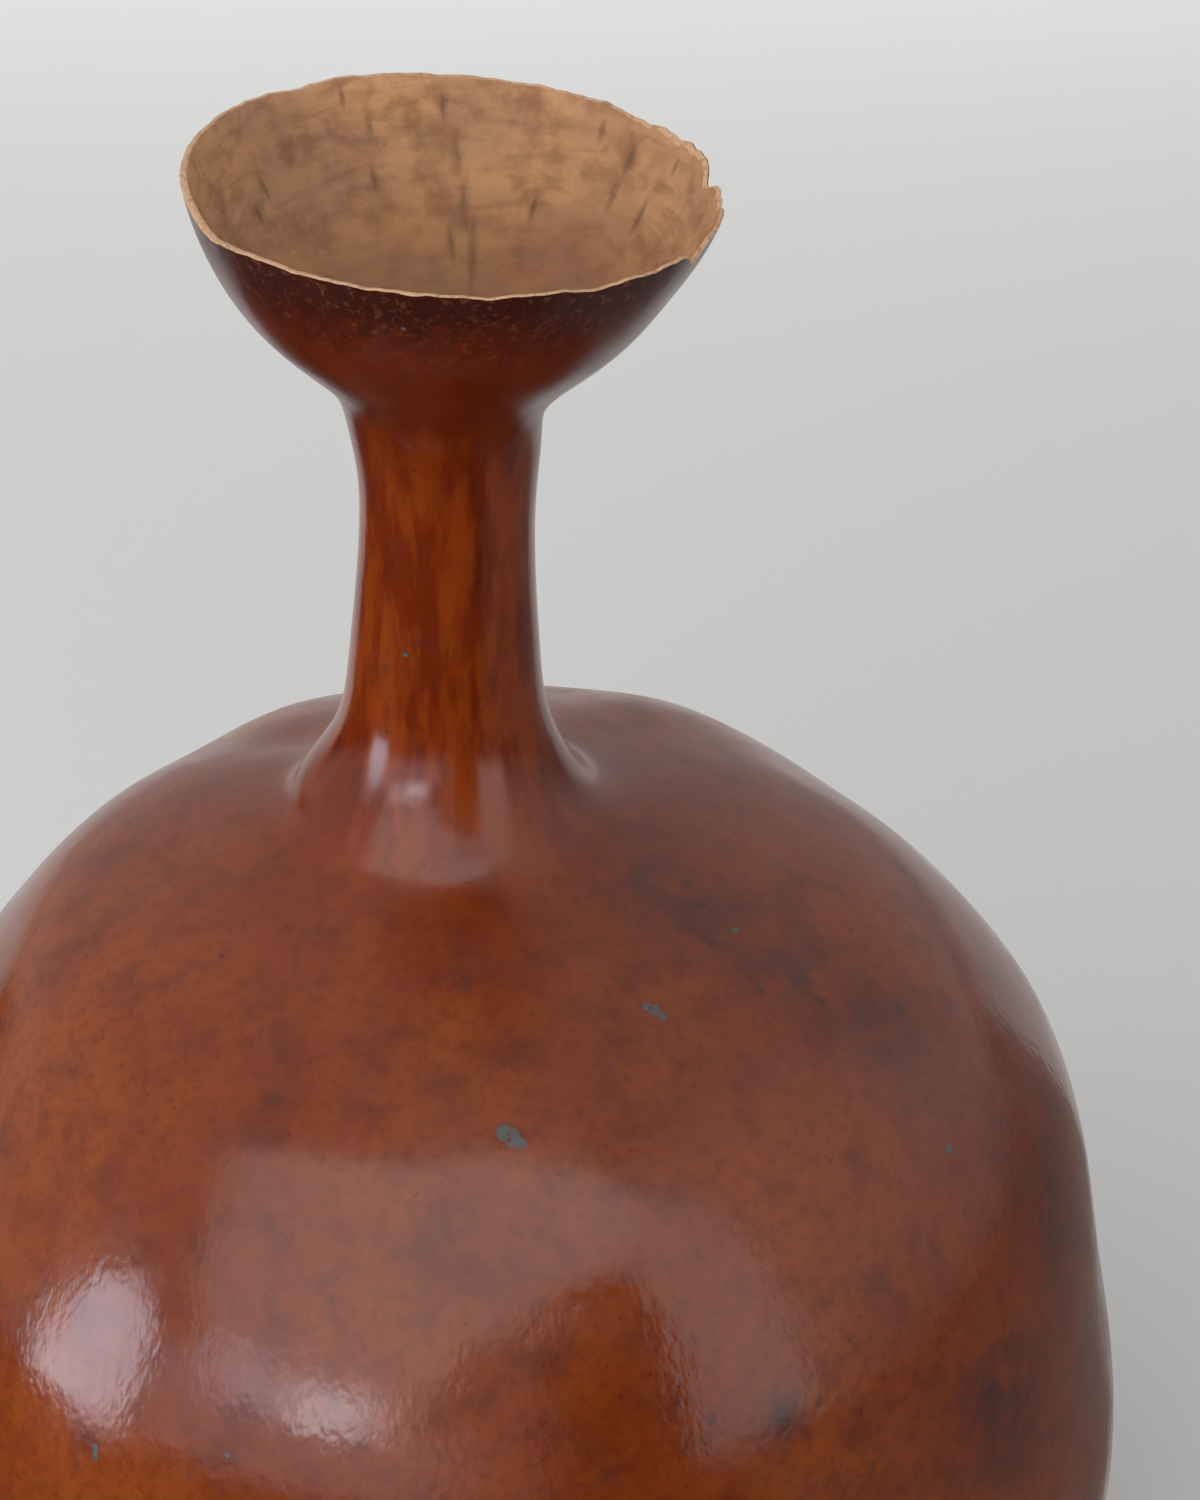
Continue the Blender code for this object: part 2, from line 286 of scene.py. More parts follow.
@dataclass(frozen=True)
class WornRim:
    """The line where the gourd was sawn open, with its waves, chips and fine nicks.

    Attributes:
        waves: For each slow wave, how many crests, its rise and a crest's angle.
        dips: Angle and half width in degrees, and depth of each chip or worn dip.
        flakes: Angle, half width and depth where the skin's side broke off deeper.
        nicks: How many nicks round the rim and how deep, for each size of nick.
        cut_width: Width of the cut where the inside is scraped thin up to the edge.
        cut_wider: How much wider it is at its widest.
        cut_wide_at: Angle and half width of that place.
        crumbled: Angle and half width of the stretch where the nicks are deeper.
        proud_skin: Angle and half width of the stretch where the skin laps over the bare cut.
        proud_strips: How many strips of the cut the skin laps over there.
    """

    height: float = 0.510
    mean_rise: float = 0.0008
    waves: tuple[tuple[int, float, float], ...] = (
        (1, 0.0037, -178.0), (1, 0.0005, 90.0), (2, 0.0010, -70.0), (3, 0.0004, 30.0),
    )
    dips: tuple[tuple[float, float, float], ...] = (
        (14.0, 4.0, 0.0040), (2.0, 8.0, 0.0022), (333.0, 4.0, 0.0030), (207.0, 12.0, 0.0030),
        (277.0, 3.0, 0.0009), (45.0, 6.0, 0.0009), (130.0, 7.0, 0.0010), (301.0, 4.0, 0.0008),
    )
    flakes: tuple[tuple[float, float, float], ...] = (
        (334.0, 4.5, 0.0016), (352.0, 5.0, 0.0008), (30.0, 14.0, -0.0013), (262.0, 2.0, 0.0004),
    )
    nicks: tuple[tuple[int, float], ...] = ((23, 0.00012), (41, 0.00010), (67, 0.00007), (103, 0.00005))
    cut_width: float = 0.0010
    cut_wider: float = 0.0010
    cut_wide_at: tuple[float, float] = (-160.0, 40.0)
    crumbled: tuple[float, float] = (2.0, 34.0)
    crumbled_times: float = 3.0
    proud_skin: tuple[float, float] = (22.0, 9.5)
    proud_strips: int = 1
    seed: int = 7

    @staticmethod
    def bell(angle: np.ndarray, centre: float, half_width: float) -> np.ndarray:
        """1 at the centre, falling smoothly to 0 away from it, round the rim."""
        away = (np.degrees(angle) - centre + 180.0) % 360.0 - 180.0
        return np.exp(-((away / half_width) ** 2))

    def line(self, angle: np.ndarray) -> np.ndarray:
        """Height of the cut edge.

        Args:
            angle: Angle round the rim in radians.

        Returns:
            The height at each angle.
        """
        height = np.full_like(angle, self.height + self.mean_rise)
        for crests, rise, crest in self.waves:
            height += rise * np.cos(crests * (angle - math.radians(crest)))
        for centre, half_width, depth in self.dips:
            height -= depth * self.bell(angle, centre, half_width)
        draw = np.random.default_rng(self.seed)
        worn = 1.0 + self.crumbled_times * self.bell(angle, *self.crumbled)
        for count, depth in self.nicks:
            height += depth * worn * np.sin(count * angle + draw.uniform(0.0, math.tau))
        return height

    def width(self, angle: np.ndarray) -> np.ndarray:
        """Width of the cut, which the scraped inside leaves thinner at the front."""
        return self.cut_width + self.cut_wider * self.bell(angle, *self.cut_wide_at)

    def flaked(self, angle: np.ndarray) -> np.ndarray:
        """How much deeper the skin's side of the wall broke than its inner side."""
        return sum(depth * self.bell(angle, centre, half) for centre, half, depth in self.flakes)


def new_material(name: str, values: dict[str, object]) -> bpy.types.Material:
    """Makes a material and sets what is even all over its surface.

    Args:
        name: Name of the finish, in a maker's words.
        values: Value or hex colour for each socket of the shader.

    Returns:
        The material.
    """
    material = bpy.data.materials.new(name)
    material.use_nodes = True
    shader = material.node_tree.nodes["Principled BSDF"]
    for socket, value in values.items():
        shader.inputs[socket].default_value = linear(value) if isinstance(value, str) else value
    return material


@dataclass
class Dressing:
    """A material in the making, which knows where on the gourd each of its points is.

    Attributes:
        material: The material.
        tree: Its node tree.
        place: Socket with the place on the gourd.
        height: Socket with the height on the gourd.
    """

    material: bpy.types.Material
    tree: Tree
    place: Socket
    height: Socket

    @classmethod
    def start(cls, name: str, values: dict[str, object]) -> "Dressing":
        """Starts a material.

        Args:
            name: Name of the finish.
            values: Value or hex colour for each socket that is even all over.

        Returns:
            The material in the making.
        """
        material = new_material(name, values)
        place = add_node(material.node_tree, "ShaderNodeTexCoord").outputs["Object"]
        height = add_node(material.node_tree, "ShaderNodeSeparateXYZ", {0: place}).outputs["Z"]
        return cls(material, material.node_tree, place, height)

    def lay(self, colour: Socket | str, *layers: tuple[Socket, Socket | str]) -> Socket:
        """Lays tones over a colour.

        Args:
            colour: The colour underneath.
            *layers: Mask and tone of each layer, from the lowest up.

        Returns:
            Socket with the colour that results.
        """
        for mask, tone in layers:
            mixed = add_node(self.tree, "ShaderNodeMix", {0: mask, 6: colour, 7: tone}, data_type="RGBA")
            colour = mixed.outputs[2]
        return colour

    def around(self, middle: tuple[float, float, float]) -> tuple[bpy.types.Node, bpy.types.Node]:
        """Where a point stands round an upright axis.

        Args:
            middle: A point of the axis.

        Returns:
            Nodes with the level way from the axis to the point and with its direction.
        """
        offset = add_node(self.tree, "ShaderNodeVectorMath", {0: self.place, 1: middle}, operation="SUBTRACT")
        level = add_node(self.tree, "ShaderNodeVectorMath", {0: offset, 1: (1.0, 1.0, 0.0)},
                         operation="MULTIPLY")
        return level, add_node(self.tree, "ShaderNodeVectorMath", {0: level}, operation="NORMALIZE")

    def on_tube(self, facing: bpy.types.Node, radius: float, climb: Socket | bpy.types.Node) -> Socket:
        """The place laid onto an upright tube.

        Args:
            facing: Node with the direction round the tube.
            radius: Radius of the tube.
            climb: How far up the tube.

        Returns:
            Socket with the place on the tube.
        """
        rise = add_node(self.tree, "ShaderNodeCombineXYZ", {"Z": climb})
        ring = add_node(self.tree, "ShaderNodeVectorMath", {0: facing, "Scale": radius}, operation="SCALE")
        return add_node(self.tree, "ShaderNodeVectorMath", {0: ring, 1: rise}, operation="ADD").outputs[0]

    def finish(self, sockets: dict[str, Socket]) -> bpy.types.Material:
        """Links what varies over the surface to the shader.

        Args:
            sockets: The socket to link to each input of the shader.

        Returns:
            The finished material.
        """
        shader = self.tree.nodes["Principled BSDF"]
        for name, socket in sockets.items():
            self.tree.links.new(socket, shader.inputs[name])
        return self.material


@dataclass(frozen=True)
class Clouds:
    """Soft clouds on a surface.

    Attributes:
        size_mm: Rough size of a cloud in millimetres.
        low: Noise value at which the mask starts.
        high: Noise value at which the mask is full.
        most: Value of the full mask.
        detail: How many finer octaves the noise has.
        fineness: How strong each finer octave is, as a share of the one before.
    """

    size_mm: float
    low: float
    high: float
    most: float = 1.0
    detail: float = 3.0
    fineness: float = 0.6

    def mask(self, on: Dressing, place: Socket | None = None) -> Socket:
        """Makes the mask of the clouds.

        Args:
            on: The material in the making.
            place: Socket with the place, if it isn't the plain place on the gourd.

        Returns:
            Socket with the mask.
        """
        field = add_node(on.tree, "ShaderNodeTexNoise",
                         {"Vector": on.place if place is None else place, "Scale": 1.0 / (self.size_mm * MM),
                          "Detail": self.detail, "Roughness": self.fineness})
        return add_node(on.tree, "ShaderNodeMapRange",
                        {"Value": field, "From Min": self.low, "From Max": self.high, "To Max": self.most},
                        interpolation_type="SMOOTHSTEP").outputs[0]


@dataclass(frozen=True)
class Marks:
    """Ragged spots or strokes at chosen places.

    Attributes:
        spots: Place in metres and radius in millimetres of each mark.
        ragged: How far the edges wander, as a share of each radius.
        softness: How much of a mark's radius its edge takes, from 0 to 1.
        most: Value of the full mask.
        tall: How many times taller than wide a mark is.
        spread: How many times its radius a mark reaches.
    """

    spots: tuple[Spot, ...]
    ragged: float
    softness: float
    most: float = 1.0
    tall: float = 1.0
    spread: float = 1.0

    def mask(self, on: Dressing, place: Socket | None = None) -> Socket:
        """Makes the mask of the marks.

        Args:
            on: The material in the making.
            place: Socket with the place, if it isn't the plain place on the gourd.

        Returns:
            Socket with the mask.
        """
        low = add_node(on.tree, "ShaderNodeVectorMath",
                       {0: on.place if place is None else place, 1: (1.0, 1.0, 1.0 / self.tall)},
                       operation="MULTIPLY")
        usual = sum(spot[3] for spot in self.spots) / len(self.spots) * self.spread * MM
        wander = add_node(on.tree, "ShaderNodeTexNoise", {"Vector": low, "Scale": 1.0 / usual, "Detail": 2.0})
        push = add_node(on.tree, "ShaderNodeVectorMath", {0: wander.outputs[1], 1: (0.5, 0.5, 0.5)},
                        operation="SUBTRACT")
        total: Socket | None = None
        for x, y, z, radius_mm in self.spots:
            radius = radius_mm * self.spread * MM
            moved = add_node(on.tree, "ShaderNodeVectorMath",
                             {0: push, 1: (radius * self.ragged,) * 3, 2: low}, operation="MULTIPLY_ADD")
            away = add_node(on.tree, "ShaderNodeVectorMath", {0: moved, 1: (x, y, z / self.tall)},
                            operation="DISTANCE").outputs["Value"]
            inside = add_node(on.tree, "ShaderNodeMapRange",
                              {"Value": away, "From Min": radius, "From Max": radius * (1.0 - self.softness),
                               "To Max": self.most}, interpolation_type="SMOOTHSTEP").outputs[0]
            total = inside if total is None else add_node(on.tree, "ShaderNodeMath", {0: total, 1: inside},
                                                          operation="MAXIMUM").outputs[0]
        return total


@dataclass(frozen=True)
class PolishedSkin:
    """Dried gourd skin, hard and woody, scraped, waxed and darkened by smoke and hands.

    To the eye it is a thin brown horn-like layer with a soft gloss. Fine fibres run from the
    neck down the belly, stand out a tenth of a millimetre and break every reflection. Real
    fibres lie about 0.3 mm apart and real pores are 0.2 mm wide, which is too fine to show,
    so both are drawn as coarse as fibre_mm and pores say. Heights are in metres.
    """

    chestnut: str = "#6e2d0c"
    amber: str = "#7b370d"
    oxblood: str = "#551f0c"
    neck_red: str = "#601d01"
    neck_orange: str = "#782f03"
    neck_dark: str = "#461201"
    # Partly the cup's own maroon and partly painted shade under the down-facing cup.
    cup_maroon: str = "#531701"
    smoke: str = "#2e110b"
    bruise: str = "#40201b"
    blot: str = "#2a1b1e"
    bare_scar: str = "#4d5150"
    scuff: str = "#8a4d30"
    # The wax: its gloss, the patches where hands wore it, and how much duller cup and dust are.
    ior: float = 1.48
    roughness: float = 0.15
    buffed: float = -0.02
    worn: float = 0.06
    wear_mm: float = 18.0
    wear_low: float = 0.35
    wear_high: float = 0.70
    cup_duller: float = 0.09
    dusty_duller: float = 0.16
    # The skin's own colour, then the smoke on the cup, then the marks.
    tone: Clouds = Clouds(80.0, 0.38, 0.64)
    mottle: Clouds = Clouds(14.0, 0.42, 0.76, 0.70)
    pores: Clouds = Clouds(3.2, 0.42, 0.72, 0.42, 2.0)
    streaks: Clouds = Clouds(7.0, 0.40, 0.62)
    dark_streaks: Clouds = Clouds(5.0, 0.50, 0.76, 0.50)
    rubbed: Clouds = Clouds(2.0, 0.52, 0.72, 0.42)
    blotches: Clouds = Clouds(9.0, 0.26, 0.62, 0.72, 4.0)
    bruising: Clouds = Clouds(13.0, 0.62, 0.80, 0.55)
    specks: Clouds = Clouds(3.4, 0.67, 0.80, 0.50, 2.0)
    fine_specks: Clouds = Clouds(1.5, 0.62, 0.78, 0.50, 2.0)
    scar_grain: Clouds = Clouds(1.5, 0.20, 0.55, 0.92, 1.0)
    streak_squash: float = 0.28
    # Strength of the cup's maroon: partly its own colour, partly painted shade under the cup.
    cup_tone_and_shade: float = 0.78
    smoke_mm: float = 5.0
    smoke_fineness: float = 0.72
    smoke_low: float = 0.75
    smoke_high: float = 1.35
    smoke_most: float = 0.85
    halo_dark: float = 0.60
    halo_bare: tuple[float, float] = (0.26, 0.62)
    # Relief of the fibres and of the slow ripples under them.
    fibre_mm: float = 2.4
    fibre_times: float = 1.2
    fibre_depth_mm: float = 0.10
    fibre_calm: float = 0.25
    ripple_mm: float = 9.0
    ripple_depth_mm: float = 0.10
    # Where things are on the gourd.
    axis: tuple[float, float, float] = (-0.008, 0.002, 0.0)
    belly_height: float = 0.135
    belly_radius: float = 0.170
    neck_radius: float = 0.023
    calm_from: float = 0.250
    dusty_from: float = 0.290
    dusty_to: float = 0.322
    neck_from: float = 0.316
    neck_to: float = 0.352
    cup_from: float = 0.425
    cup_to: float = 0.470
    band_from: float = 0.478
    band_to: float = 0.512
    bruises: Marks = Marks((
        (0.056, -0.036, 0.318, 26.0), (0.080, -0.046, 0.308, 31.0), (0.103, -0.050, 0.296, 24.0),
        (0.134, -0.096, 0.208, 38.0), (0.156, -0.052, 0.240, 40.0), (0.075, -0.140, 0.241, 12.0),
        (0.041, -0.026, 0.324, 16.0),
    ), ragged=0.9, softness=0.95)
    blots: Marks = Marks((
        (0.0749, -0.1400, 0.2412, 3.4), (0.0574, -0.1463, 0.2450, 2.6), (0.0851, -0.1338, 0.2408, 2.2),
        (0.0499, -0.1459, 0.2505, 1.8), (0.1313, -0.1010, 0.2161, 5.0), (0.0564, -0.0293, 0.3191, 3.2),
        (0.0526, -0.0230, 0.3212, 2.4), (0.0714, -0.0540, 0.3094, 2.2), (0.0871, -0.0509, 0.3040, 2.6),
        (0.1087, -0.0416, 0.2943, 3.2), (0.0929, -0.1221, 0.2503, 1.4), (-0.0990, -0.0700, 0.2940, 1.6),
    ), ragged=1.2, softness=1.0, most=0.60)
    scars: Marks = Marks((
        (0.0066, -0.1068, 0.3032, 2.4), (0.0086, -0.1077, 0.3023, 2.9), (0.0107, -0.1088, 0.3013, 2.1),
        (0.0422, -0.0679, 0.3134, 1.8), (0.0442, -0.0689, 0.3128, 2.3), (0.0463, -0.0699, 0.3121, 1.7),
        (-0.0960, -0.1366, 0.2282, 1.2), (-0.0960, -0.1372, 0.2268, 1.2), (-0.0960, -0.1378, 0.2254, 1.2),
        (-0.0611, -0.1509, 0.2378, 1.0), (0.1207, -0.0706, 0.2707, 1.6), (0.0654, -0.0353, 0.3153, 1.2),
        (-0.0192, -0.0191, 0.3886, 0.8), (-0.0122, -0.0346, 0.4648, 0.8), (-0.0148, -0.0339, 0.4622, 0.8),
        (-0.0150, -0.0630, 0.5010, 0.8),
    ), ragged=0.6, softness=1.0, spread=1.5)

    def build(self) -> bpy.types.Material:
        """Makes the skin's material.

        Returns:
            The material, with its colour, gloss and relief.
        """
        on = Dressing.start("polished_gourd_skin", {"IOR": self.ior})
        on_body, on_neck = self.fibre_places(on)
        colour = self.marks(on, self.smoked(on, self.ground(on, on_neck)))
        relief = self.relief(on, on_body, on_neck)
        return on.finish({"Base Color": colour, "Roughness": self.gloss(on), "Normal": relief})

    def fibre_places(self, on: Dressing) -> tuple[Socket, Socket]:
        """Places that are stretched along the fibres, which run from the rim to the foot.

        Args:
            on: The material in the making.

        Returns:
            Sockets with the stretched place for the belly and for the neck and cup.
        """
        level, facing = on.around(self.axis)
        radius = add_node(on.tree, "ShaderNodeVectorMath", {0: level}, operation="LENGTH").outputs["Value"]
        above = add_node(on.tree, "ShaderNodeMath", {0: on.height, 1: self.belly_height},
                         operation="SUBTRACT")
        climb = add_node(on.tree, "ShaderNodeMath", {0: above, 1: radius}, operation="ARCTAN2")
        stretched = []
        for along, size, share in ((climb, self.belly_radius, self.belly_radius),
                                   (on.height, self.neck_radius, 1.0)):
            shortened = add_node(on.tree, "ShaderNodeMath", {0: along, 1: share / self.fibre_times},
                                 operation="MULTIPLY")
            stretched.append(on.on_tube(facing, size, shortened))
        return stretched[0], stretched[1]

    def up_to_neck(self, on: Dressing) -> Socket:
        """Socket that goes from 0 on the belly to 1 on the neck."""
        return add_node(on.tree, "ShaderNodeMapRange",
                        {"Value": on.height, "From Min": self.neck_from, "From Max": self.neck_to},
                        interpolation_type="SMOOTHSTEP").outputs[0]

    def ground(self, on: Dressing, on_neck: Socket) -> Socket:
        """The skin's own brown: broad changes of tone on the belly, and streaks up the neck.

        Args:
            on: The material in the making.
            on_neck: Socket with the place stretched along the neck.

        Returns:
            Socket with the colour.
        """
        belly = on.lay(self.chestnut, (self.tone.mask(on), self.amber), (self.mottle.mask(on), self.oxblood),
                       (self.pores.mask(on), self.oxblood))
        up_neck = add_node(on.tree, "ShaderNodeVectorMath", {0: on_neck, 1: (1.0, 1.0, self.streak_squash)},
                           operation="MULTIPLY").outputs[0]
        neck = on.lay(self.neck_red, (self.streaks.mask(on, up_neck), self.neck_orange),
                      (self.dark_streaks.mask(on, up_neck), self.neck_dark))
        return on.lay(belly, (self.up_to_neck(on), neck))

    def smoked(self, on: Dressing, colour: Socket) -> Socket:
        """A darker maroon up the neck and under the cup, partly the skin's own colour and partly painted
        shade where the cup faces down, and the dark mottled band that smoke and hands left round the outside
        of the cup.

        Args:
            on: The material in the making.
            colour: Socket with the colour so far.

        Returns:
            Socket with the darkened colour.
        """
        # Darker maroon from the upper neck up the cup: partly its own colour, partly painted shade under the
        # cup.
        under_cup_shade = add_node(on.tree, "ShaderNodeMapRange",
                             {"Value": on.height, "From Min": self.cup_from, "From Max": self.cup_to,
                              "To Max": self.cup_tone_and_shade}, interpolation_type="SMOOTHSTEP").outputs[0]
        near_rim = add_node(on.tree, "ShaderNodeMapRange",
                            {"Value": on.height, "From Min": self.band_from, "From Max": self.band_to})
        cloud = add_node(on.tree, "ShaderNodeTexNoise",
                         {"Vector": on.place, "Scale": 1.0 / (self.smoke_mm * MM), "Detail": 4.0,
                          "Roughness": self.smoke_fineness})
        patchy = add_node(on.tree, "ShaderNodeMath", {0: cloud, 1: near_rim}, operation="ADD")
        smoke = add_node(on.tree, "ShaderNodeMapRange",
                         {"Value": patchy, "From Min": self.smoke_low, "From Max": self.smoke_high,
                          "To Max": self.smoke_most}, interpolation_type="SMOOTHSTEP").outputs[0]
        rubbed = add_node(on.tree, "ShaderNodeMath", {0: near_rim, 1: self.rubbed.mask(on)},
                          operation="MULTIPLY").outputs[0]
        return on.lay(colour, (under_cup_shade, self.cup_maroon), (smoke, self.smoke), (rubbed, self.scuff))

    def marks(self, on: Dressing, colour: Socket) -> Socket:
        """Bruises, blots, specks and bare scars on the skin.

        Args:
            on: The material in the making.
            colour: Socket with the colour so far.

        Returns:
            Socket with the marked colour.
        """
        bruised = add_node(on.tree, "ShaderNodeMath", {0: self.bruises.mask(on), 1: self.blotches.mask(on)},
                           operation="MULTIPLY").outputs[0]
        halo = self.scars.mask(on)
        dark = add_node(on.tree, "ShaderNodeMath", {0: halo, 1: self.halo_dark},
                        operation="MULTIPLY").outputs[0]
        bare_low, bare_high = self.halo_bare
        scar = add_node(on.tree, "ShaderNodeMapRange",
                        {"Value": halo, "From Min": bare_low, "From Max": bare_high},
                        interpolation_type="SMOOTHSTEP")
        bare = add_node(on.tree, "ShaderNodeMath", {0: self.scar_grain.mask(on), 1: scar},
                        operation="MULTIPLY").outputs[0]
        return on.lay(colour, (bruised, self.bruise), (self.bruising.mask(on), self.bruise),
                      (self.specks.mask(on), self.smoke), (self.fine_specks.mask(on), self.smoke),
                      (self.blots.mask(on), self.blot), (dark, self.smoke), (bare, self.bare_scar))

    def gloss(self, on: Dressing) -> Socket:
        """Roughness of the wax: patchy, and duller where dust lies on the shoulder and on the cup.

        Args:
            on: The material in the making.

        Returns:
            Socket with the roughness.
        """
        wear = add_node(on.tree, "ShaderNodeTexNoise",
                        {"Vector": on.place, "Scale": 1.0 / (self.wear_mm * MM), "Detail": 2.0})
        dull = add_node(on.tree, "ShaderNodeMapRange",
                        {"Value": wear, "From Min": self.wear_low, "From Max": self.wear_high,
                         "To Min": self.roughness + self.buffed, "To Max": self.roughness + self.worn})
        smoked = add_node(on.tree, "ShaderNodeMapRange",
                          {"Value": on.height, "From Min": self.cup_from, "From Max": self.cup_to,
                           "To Max": self.cup_duller})
        dusty = add_node(on.tree, "ShaderNodeMapRange",
                         {"Value": on.height, "From Min": self.dusty_from, "From Max": self.dusty_to,
                          "To Max": self.dusty_duller}, interpolation_type="SMOOTHSTEP")
        wiped = add_node(on.tree, "ShaderNodeMath", {0: 1.0, 1: self.up_to_neck(on)}, operation="SUBTRACT")
        dust = add_node(on.tree, "ShaderNodeMath", {0: dusty, 1: wiped, 2: dull}, operation="MULTIPLY_ADD")
        return add_node(on.tree, "ShaderNodeMath", {0: dust, 1: smoked}, operation="ADD").outputs[0]

    def relief(self, on: Dressing, on_body: Socket, on_neck: Socket) -> Socket:
        """The fine fibres over slow ripples of the dried skin, calmer towards the shoulder.

        Args:
            on: The material in the making.
            on_body: Socket with the place stretched along the belly.
            on_neck: Socket with the place stretched along the neck.

        Returns:
            Socket with the surface's direction.
        """
        slow = add_node(on.tree, "ShaderNodeTexNoise",
                        {"Vector": on.place, "Scale": 1.0 / (self.ripple_mm * MM), "Detail": 1.0})
        ripple = add_node(on.tree, "ShaderNodeBump", {"Height": slow, "Distance": self.ripple_depth_mm * MM})
        belly, neck = (add_node(on.tree, "ShaderNodeTexNoise",
                                {"Vector": where, "Scale": 1.0 / (self.fibre_mm * MM), "Detail": 1.5,
                                 "Roughness": 0.5}) for where in (on_body, on_neck))
        fine = add_node(on.tree, "ShaderNodeMix", {0: self.up_to_neck(on), 2: belly, 3: neck})
        calm = add_node(on.tree, "ShaderNodeMapRange",
                        {"Value": on.height, "From Min": self.calm_from, "From Max": self.dusty_from,
                         "To Min": 1.0, "To Max": self.fibre_calm})
        return add_node(on.tree, "ShaderNodeBump",
                        {"Height": fine, "Distance": self.fibre_depth_mm * MM, "Strength": calm,
                         "Normal": ripple}).outputs[0]


@dataclass(frozen=True)
class SawnEdge:
    """The sawn and worn edge of the shell: bare, pale, corky wood that drinks light."""

    cork: str = "#c49c78"
    stained: str = "#8d6545"
    ior: float = 1.45
    roughness: float = 0.75
    stain: Clouds = Clouds(1.6, 0.48, 0.72, 0.80, 5.0)
    grain_depth_mm: float = 0.10

    def build(self) -> bpy.types.Material:
        """Makes the edge's material.

        Returns:
            The material.
        """
        on = Dressing.start("sawn_gourd_cork", {"Roughness": self.roughness, "IOR": self.ior})
        stain = self.stain.mask(on)
        grain = add_node(on.tree, "ShaderNodeBump", {"Height": stain, "Distance": self.grain_depth_mm * MM})
        return on.finish({"Base Color": on.lay(self.cork, (stain, self.stained)), "Normal": grain.outputs[0]})


